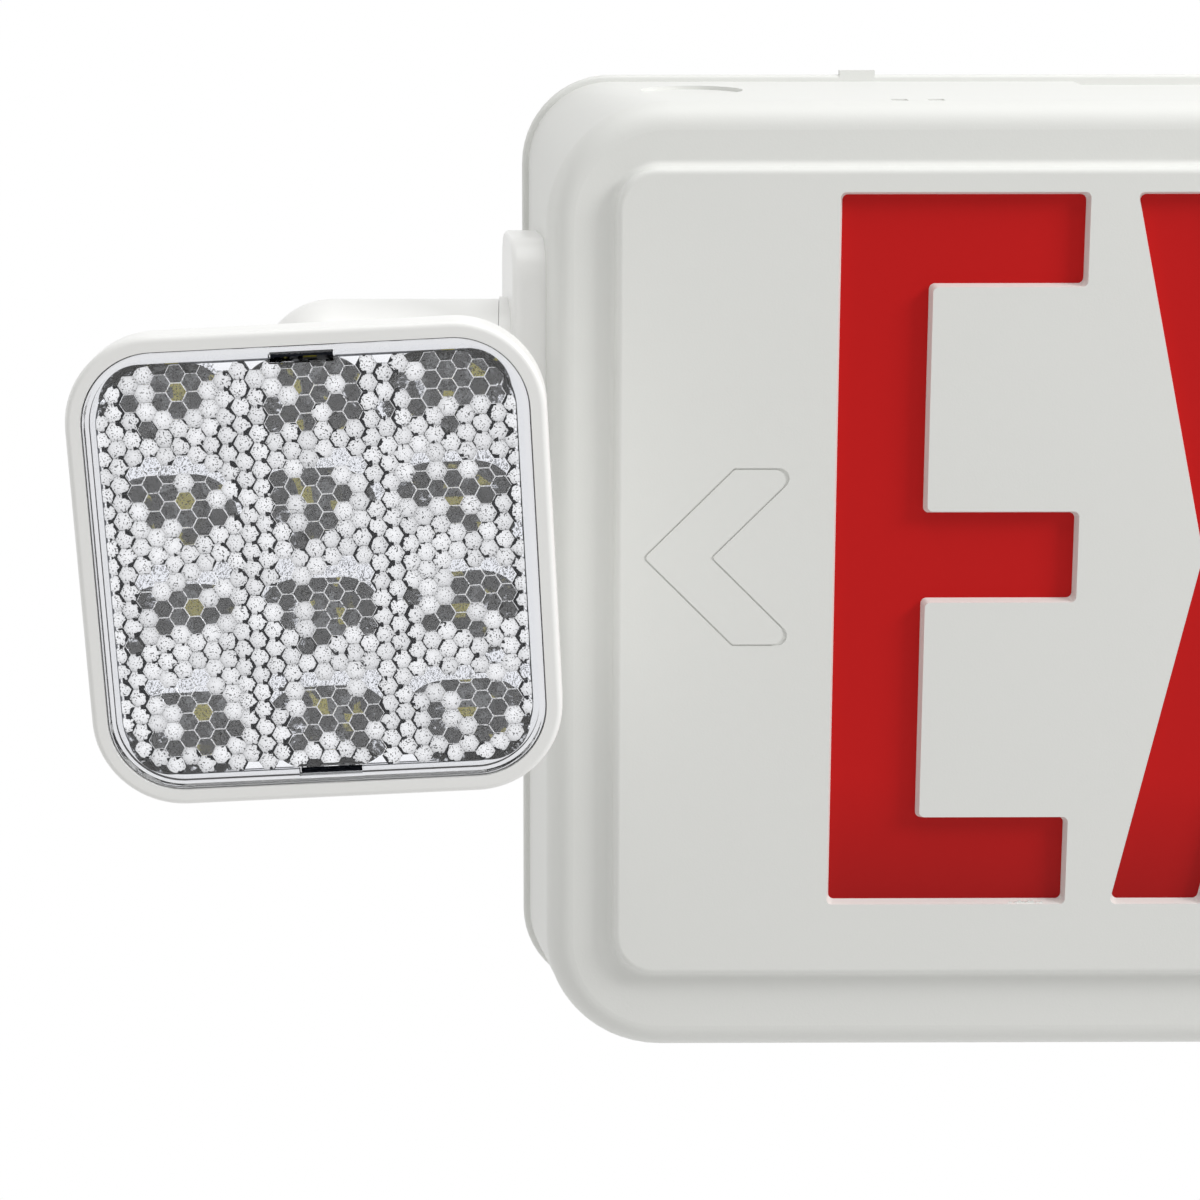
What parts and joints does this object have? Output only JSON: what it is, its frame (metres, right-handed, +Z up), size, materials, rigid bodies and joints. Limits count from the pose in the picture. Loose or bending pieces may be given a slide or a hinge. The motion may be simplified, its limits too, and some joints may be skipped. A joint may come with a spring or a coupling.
{
  "type": "emergency exit light",
  "caption": "White emergency exit light: a shallow drafted box with a red cut-out legend, and a square lamp head on a jointed arm at each side.",
  "frame": {"origin": "middle of the flat back face, at the centre of the pair of junction box screw holes", "axes": "+X to the right seen from the front, +Y into the wall, +Z up; the legend faces -Y"},
  "size_m": [0.5148, 0.1012, 0.214],
  "materials": {
    "white_housing": "fine satin white moulding",
    "white_lamp": "smooth white moulding with a soft gloss",
    "red_panel": "even red translucent sheet",
    "clear_lens": "clear with small honeycomb facets and a smooth margin",
    "plated_cups": "bright plated plastic",
    "white_board": "white solder mask",
    "diode": "yellow phosphor in a pale package",
    "green_board": "green solder mask",
    "green_plastic": "plain moulding",
    "dark_core": "varnished laminations",
    "black_plastic": "plain moulding",
    "battery_sleeve": "shrink sleeve",
    "zinc_screw": "zinc plated",
    "button_red": "smooth moulding",
    "lamp_green": "tinted light pipe"
  },
  "bodies": {
    "box": {"back_housing": "white_housing", "front_cover": "white_housing", "red_diffuser": "red_panel", "legend_board": "green_board", "legend_leds": "diode", "charger_board": "green_board", "transformer": "dark_core", "board_parts": "black_plastic", "terminal_block": "green_plastic", "board_screws": "zinc_screw", "battery_pack": "battery_sleeve", "battery_strap": "zinc_screw", "switch_bracket": "white_housing", "switch_board": "green_board", "test_switch": "black_plastic", "button_spring": "zinc_screw", "indicator_lens": "lamp_green", "indicator_led": "lamp_green", "left_bracket": "white_lamp", "left_bracket_screws": "zinc_screw", "right_bracket": "white_lamp", "right_bracket_screws": "zinc_screw"},
    "left_arm": {"left_arm": "white_lamp", "left_arm_washer": "black_plastic", "left_arm_nut": "white_lamp", "left_pivot_pin": "zinc_screw"},
    "left_head": {"left_head_shell": "white_lamp", "left_head_lens": "clear_lens", "left_head_reflector": "plated_cups", "left_head_board": "white_board", "left_head_leds": "diode"},
    "right_arm": {"right_arm": "white_lamp", "right_arm_washer": "black_plastic", "right_arm_nut": "white_lamp", "right_pivot_pin": "zinc_screw"},
    "right_head": {"right_head_shell": "white_lamp", "right_head_lens": "clear_lens", "right_head_reflector": "plated_cups", "right_head_board": "white_board", "right_head_leds": "diode"},
    "test_button": {"test_button": "button_red"}
  },
  "joints": [
    {"name": "left_arm_tilt", "type": "hinge", "parent": "box", "child": "left_arm", "pos_m": [-0.1734, -0.034, 0.0441], "axis": [1, 0, 0], "range_deg": [-60, 16]},
    {"name": "left_head_turn", "type": "hinge", "parent": "left_arm", "child": "left_head", "pos_m": [-0.2093, -0.034, 0.0441], "axis": [-0.0523, -0.0339, 0.9981], "range_deg": [-90, 1]},
    {"name": "right_arm_tilt", "type": "hinge", "parent": "box", "child": "right_arm", "pos_m": [0.1734, -0.034, 0.0441], "axis": [1, 0, 0], "range_deg": [-60, 16]},
    {"name": "right_head_turn", "type": "hinge", "parent": "right_arm", "child": "right_head", "pos_m": [0.2093, -0.034, 0.0441], "axis": [-0.0523, 0.0339, -0.9981], "range_deg": [-90, 1]},
    {"name": "test_button_press", "type": "slide", "parent": "box", "child": "test_button", "axis": [0, 0, 1], "range_m": [0, 0.002], "stiffness_N_per_m": 300, "springref_m": -0.002, "deforming": ["button_spring"]}
  ]
}
